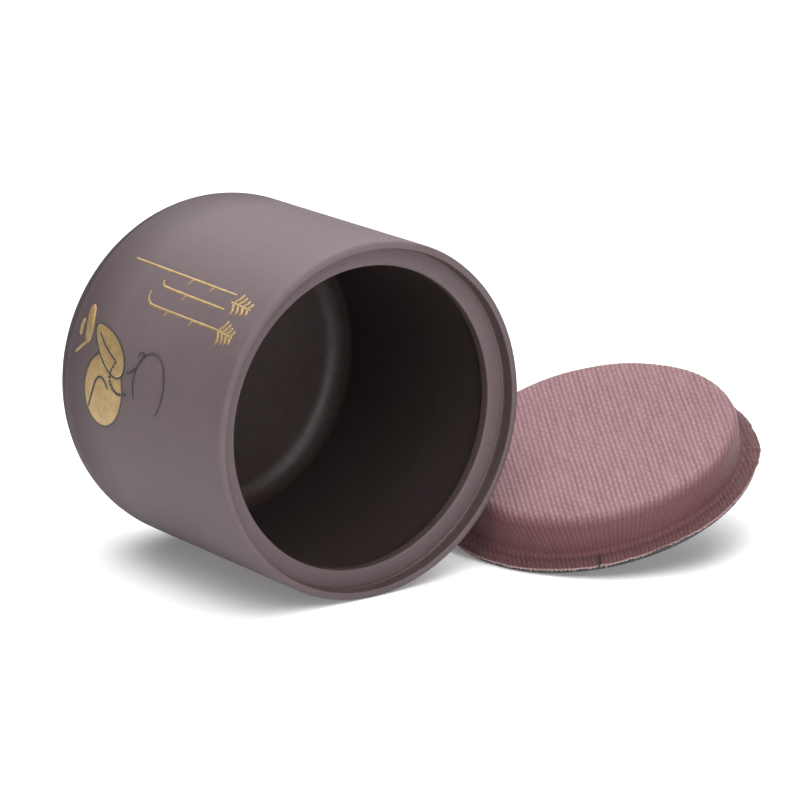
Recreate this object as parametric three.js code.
// A small straight-sided storage jar of unglazed purple clay, lying on its side, and its lid,
// which lies upside down beside it with its cloth-covered plug upwards.
// Millimetres, +Z up. The jar's axis runs along Y with its mouth facing -Y, and the lid is on
// its +X side. The origin is on the table, under the centre of the two pieces together.
import * as THREE from "three";

// ---- jar: radii from its axis, heights from its base ----
const JAR_RADIUS = 42.5;
const JAR_HEIGHT = 78.8;
const BASE_FILLET = 16;
const FOOT_RECESS_RADIUS = 20.5;
const FOOT_RECESS_DEPTH = 1.0;
const FOOT_RECESS_SLOPE = 1.5;
const RIM_OUTER_ROUND = 0.9;
const RIM_INNER_ROUND = 0.5;
const SEAT_RADIUS = 40.6; // the stepped seat that takes the lid's rim
const SEAT_DEPTH = 3.6;
const SEAT_EDGE_ROUND = 0.5;
const NECK_RADIUS = 36.1; // the bore that takes the cloth plug
const NECK_LENGTH = 2.8;
const CAVITY_RADIUS = 37.4;
const CAVITY_SHOULDER = 1.6; // height over which the neck widens into the cavity
const FLOOR_THICKNESS = 13;
const FLOOR_FILLET = 5;

// ---- lid: radii from its axis, heights from its flat underside, plug side positive ----
const LID_RADIUS = 40;
const LID_EDGE_THICKNESS = 1.4;
const LID_FACE_ROUND = 0.6; // rounding of the edge that lies on the table
const LID_BACK_ROUND = 0.4;
const LID_DOME_RISE = 3.6;
const KNOB_TOP = 15.1; // from the lid's underside to the knob's tip
const KNOB_TIP_RADIUS = 12;
const KNOB_RADIUS = 8;
const KNOB_EDGE_ROUND = 1.6;
const KNOB_WAIST_RADIUS = 5;
const KNOB_FOOT_RADIUS = 8.5;

// ---- plug on the lid's underside ----
const LAYER_GAP = 0.3; // clearance between touching layers
const GLUE_RADIUS = 30;
const GLUE_THICKNESS = 0.5;
const CORE_RADIUS = 33.8;
const CORE_THICKNESS = 5.2;
const CORE_CHAMFER = 0.5;
const PAD_THICKNESS = 2.6;
const PAD_CROWN_ROUND = 2;
const CLOTH_THICKNESS = 0.8;
const CLOTH_TOP_RADIUS = 35.2;
const CLOTH_FOOT_RADIUS = 35.8;
const CLOTH_EDGE_ROUND = 2.6;
const CLOTH_FOOT_ROUND = 1.2;
const CLOTH_FLANGE_RADIUS = 39.9;

// ---- how the two pieces lie ----
const LID_CENTRE_X = 74.2; // the lid's centre, from the jar's axis
const LID_CENTRE_Y = 9.8; // the lid's centre, behind the plane of the jar's mouth
const LID_LOW_SIDE = THREE.MathUtils.degToRad(196); // heading of the rim point on the table

const TURNS = 64; // facets around every turned piece

const CLAY = { color: 0x6b5f60, roughness: 0.6, metalness: 0 };
const LID_CLAY = { color: 0x54505a, roughness: 0.55, metalness: 0 };
const LINEN = { color: 0x8c6468, roughness: 0.95, metalness: 0 };
const CARDBOARD = { color: 0xa58a66, roughness: 0.9, metalness: 0 };
const FOAM = { color: 0xe6e1d6, roughness: 0.95, metalness: 0 };
const GLUE = { color: 0xd8cfa8, roughness: 0.5, metalness: 0 };

const point = (radius, height) => new THREE.Vector2(radius, height);

// Points of a circular arc, in degrees anticlockwise from the outward direction.
function arc(centreRadius, centreHeight, radius, from, to, steps) {
  return Array.from({ length: steps + 1 }, (_, i) => {
    const angle = THREE.MathUtils.degToRad(from + ((to - from) * i) / steps);
    return point(centreRadius + radius * Math.cos(angle), centreHeight + radius * Math.sin(angle));
  });
}

// A turned body: the profile runs from the axis at the bottom, outwards, and back to the axis.
function turned(name, profile, finish) {
  const geometry = new THREE.LatheGeometry(profile, TURNS);
  const mesh = new THREE.Mesh(geometry, new THREE.MeshStandardMaterial(finish));
  mesh.name = name;
  return mesh;
}

function jarOutside() {
  const filletCentre = JAR_RADIUS - BASE_FILLET;
  const rimCentre = JAR_RADIUS - RIM_OUTER_ROUND;
  return [
    point(0, FOOT_RECESS_DEPTH),
    point(FOOT_RECESS_RADIUS - FOOT_RECESS_SLOPE, FOOT_RECESS_DEPTH),
    point(FOOT_RECESS_RADIUS, 0),
    ...arc(filletCentre, BASE_FILLET, BASE_FILLET, -90, 0, 8),
    ...arc(rimCentre, JAR_HEIGHT - RIM_OUTER_ROUND, RIM_OUTER_ROUND, 0, 90, 3),
  ];
}

function jarMouth() {
  const seatHeight = JAR_HEIGHT - SEAT_DEPTH;
  const neckEnd = seatHeight - NECK_LENGTH;
  const edgeRadius = NECK_RADIUS + SEAT_EDGE_ROUND;
  return [
    ...arc(SEAT_RADIUS + RIM_INNER_ROUND, JAR_HEIGHT - RIM_INNER_ROUND, RIM_INNER_ROUND, 90, 180, 2),
    point(SEAT_RADIUS, seatHeight),
    ...arc(edgeRadius, seatHeight - SEAT_EDGE_ROUND, SEAT_EDGE_ROUND, 90, 180, 2),
    point(NECK_RADIUS, neckEnd),
    point(CAVITY_RADIUS, neckEnd - CAVITY_SHOULDER),
  ];
}

function jarInside() {
  const filletCentre = CAVITY_RADIUS - FLOOR_FILLET;
  const filletHeight = FLOOR_THICKNESS + FLOOR_FILLET;
  return [
    ...arc(filletCentre, filletHeight, FLOOR_FILLET, 0, -90, 6),
    point(0, FLOOR_THICKNESS),
  ];
}

function jarBody() {
  return turned("jar_body", [...jarOutside(), ...jarMouth(), ...jarInside()], CLAY);
}

// The lid's outer face is a shallow dome: this is its height at a radius.
function domeHeight(radius) {
  const edge = LID_RADIUS - LID_FACE_ROUND;
  return -LID_EDGE_THICKNESS - LID_DOME_RISE * (1 - (radius / edge) ** 2);
}

function knobProfile() {
  const edgeCentre = KNOB_RADIUS - KNOB_EDGE_ROUND;
  const tipCentre = KNOB_TIP_RADIUS - KNOB_TOP;
  const tipReach = KNOB_TIP_RADIUS - KNOB_EDGE_ROUND;
  const tipAngle = THREE.MathUtils.radToDeg(Math.acos(edgeCentre / tipReach));
  const edgeHeight = tipCentre - Math.sqrt(tipReach ** 2 - edgeCentre ** 2);
  const foot = domeHeight(KNOB_FOOT_RADIUS);
  const waist = (edgeHeight + KNOB_EDGE_ROUND + foot) / 2;
  return [
    ...arc(0, tipCentre, KNOB_TIP_RADIUS, -90, -tipAngle, 4),
    ...arc(edgeCentre, edgeHeight, KNOB_EDGE_ROUND, -tipAngle, 60, 4).slice(1),
    point(KNOB_WAIST_RADIUS, waist),
    point(KNOB_FOOT_RADIUS, foot),
  ];
}

function lidShell() {
  const faceCentre = LID_RADIUS - LID_FACE_ROUND;
  const backCentre = LID_RADIUS - LID_BACK_ROUND;
  const domeSteps = 5;
  const dome = Array.from({ length: domeSteps - 1 }, (_, i) => {
    const share = (i + 1) / domeSteps;
    const radius = THREE.MathUtils.lerp(KNOB_FOOT_RADIUS, faceCentre, share);
    return point(radius, domeHeight(radius));
  });
  const profile = [
    ...knobProfile(),
    ...dome,
    ...arc(faceCentre, LID_FACE_ROUND - LID_EDGE_THICKNESS, LID_FACE_ROUND, -90, 0, 3),
    ...arc(backCentre, -LID_BACK_ROUND, LID_BACK_ROUND, 0, 90, 2),
    point(0, 0),
  ];
  return turned("lid_shell", profile, LID_CLAY);
}

const GLUE_TOP = LAYER_GAP + GLUE_THICKNESS;
const CORE_BOTTOM = GLUE_TOP + LAYER_GAP;
const CORE_TOP = CORE_BOTTOM + CORE_THICKNESS;
const PAD_BOTTOM = CORE_TOP + LAYER_GAP;
const PAD_TOP = PAD_BOTTOM + PAD_THICKNESS;
const CLOTH_CEILING = PAD_TOP + LAYER_GAP;
const CLOTH_TOP = CLOTH_CEILING + CLOTH_THICKNESS;

function glueLayer() {
  const profile = [
    point(0, LAYER_GAP),
    point(GLUE_RADIUS, LAYER_GAP),
    point(GLUE_RADIUS, GLUE_TOP),
    point(0, GLUE_TOP),
  ];
  return turned("glue_layer", profile, GLUE);
}

function plugCore() {
  const profile = [
    point(0, CORE_BOTTOM),
    point(CORE_RADIUS - CORE_CHAMFER, CORE_BOTTOM),
    point(CORE_RADIUS, CORE_BOTTOM + CORE_CHAMFER),
    point(CORE_RADIUS, CORE_TOP),
    point(0, CORE_TOP),
  ];
  return turned("plug_core", profile, CARDBOARD);
}

function plugPad() {
  const crownCentre = CORE_RADIUS - PAD_CROWN_ROUND;
  const profile = [
    point(0, PAD_BOTTOM),
    point(CORE_RADIUS, PAD_BOTTOM),
    ...arc(crownCentre, PAD_TOP - PAD_CROWN_ROUND, PAD_CROWN_ROUND, 0, 90, 4),
    point(0, PAD_TOP),
  ];
  return turned("plug_pad", profile, FOAM);
}

// The cloth is a round cap over the plug whose cut edge is spread out flat against the lid.
function clothCover() {
  const outerTopCentre = CLOTH_TOP_RADIUS - CLOTH_EDGE_ROUND;
  const outerTopHeight = CLOTH_TOP - CLOTH_EDGE_ROUND;
  const innerTopRound = CLOTH_EDGE_ROUND - CLOTH_THICKNESS;
  const flangeTop = LAYER_GAP + CLOTH_THICKNESS;
  const footRadius = CLOTH_FOOT_RADIUS + CLOTH_FOOT_ROUND;
  const innerFootRadius = CLOTH_FOOT_RADIUS - CLOTH_THICKNESS;
  const profile = [
    point(0, CLOTH_CEILING),
    ...arc(outerTopCentre, outerTopHeight, innerTopRound, 90, 0, 3),
    point(innerFootRadius, flangeTop + CLOTH_FOOT_ROUND),
    point(innerFootRadius + CLOTH_FOOT_ROUND, LAYER_GAP),
    point(CLOTH_FLANGE_RADIUS, LAYER_GAP),
    point(CLOTH_FLANGE_RADIUS, flangeTop),
    ...arc(footRadius, flangeTop + CLOTH_FOOT_ROUND, CLOTH_FOOT_ROUND, 270, 180, 3),
    ...arc(outerTopCentre, outerTopHeight, CLOTH_EDGE_ROUND, 0, 90, 4),
    point(0, CLOTH_TOP),
  ];
  return turned("cloth_cover", profile, LINEN);
}

// The lid leans on two round edges, its rim and its knob: the tilt that sets both on the table.
function lidTilt() {
  const drop = KNOB_TOP - KNOB_TIP_RADIUS - (LID_EDGE_THICKNESS - LID_FACE_ROUND);
  const reach = LID_RADIUS - LID_FACE_ROUND;
  const difference = LID_FACE_ROUND - KNOB_TIP_RADIUS;
  return Math.atan2(drop, reach) - Math.asin(difference / Math.hypot(drop, reach));
}

// The height of the lid's underside centre once it is tilted.
function lidHeight(tilt) {
  const rimCentre = LID_EDGE_THICKNESS - LID_FACE_ROUND;
  const reach = LID_RADIUS - LID_FACE_ROUND;
  return LID_FACE_ROUND + rimCentre * Math.cos(tilt) + reach * Math.sin(tilt);
}

function layJar() {
  const laid = new THREE.Group();
  laid.add(jarBody());
  laid.rotation.x = Math.PI; // the turning axis, Y, is turned to point the mouth at -Y
  laid.position.set(0, JAR_HEIGHT, JAR_RADIUS);
  return laid;
}

function layLid() {
  const lid = new THREE.Group();
  lid.add(lidShell(), glueLayer(), plugCore(), plugPad(), clothCover());
  lid.rotation.x = Math.PI / 2; // the turning axis, Y, becomes Z
  const tilt = lidTilt();
  const tilted = new THREE.Group();
  tilted.add(lid);
  tilted.rotation.y = tilt; // the rim's +X point goes down
  const placed = new THREE.Group();
  placed.add(tilted);
  placed.rotation.z = LID_LOW_SIDE;
  placed.position.set(LID_CENTRE_X, LID_CENTRE_Y, lidHeight(tilt));
  return placed;
}

// Moves everything so that the origin is on the table under the middle of the arrangement.
function centred(...pieces) {
  const part = new THREE.Group();
  part.add(...pieces);
  part.updateMatrixWorld(true);
  const middle = new THREE.Box3().setFromObject(part, true).getCenter(new THREE.Vector3());
  part.position.set(-middle.x, -middle.y, 0);
  return part;
}

export default centred(layJar(), layLid());
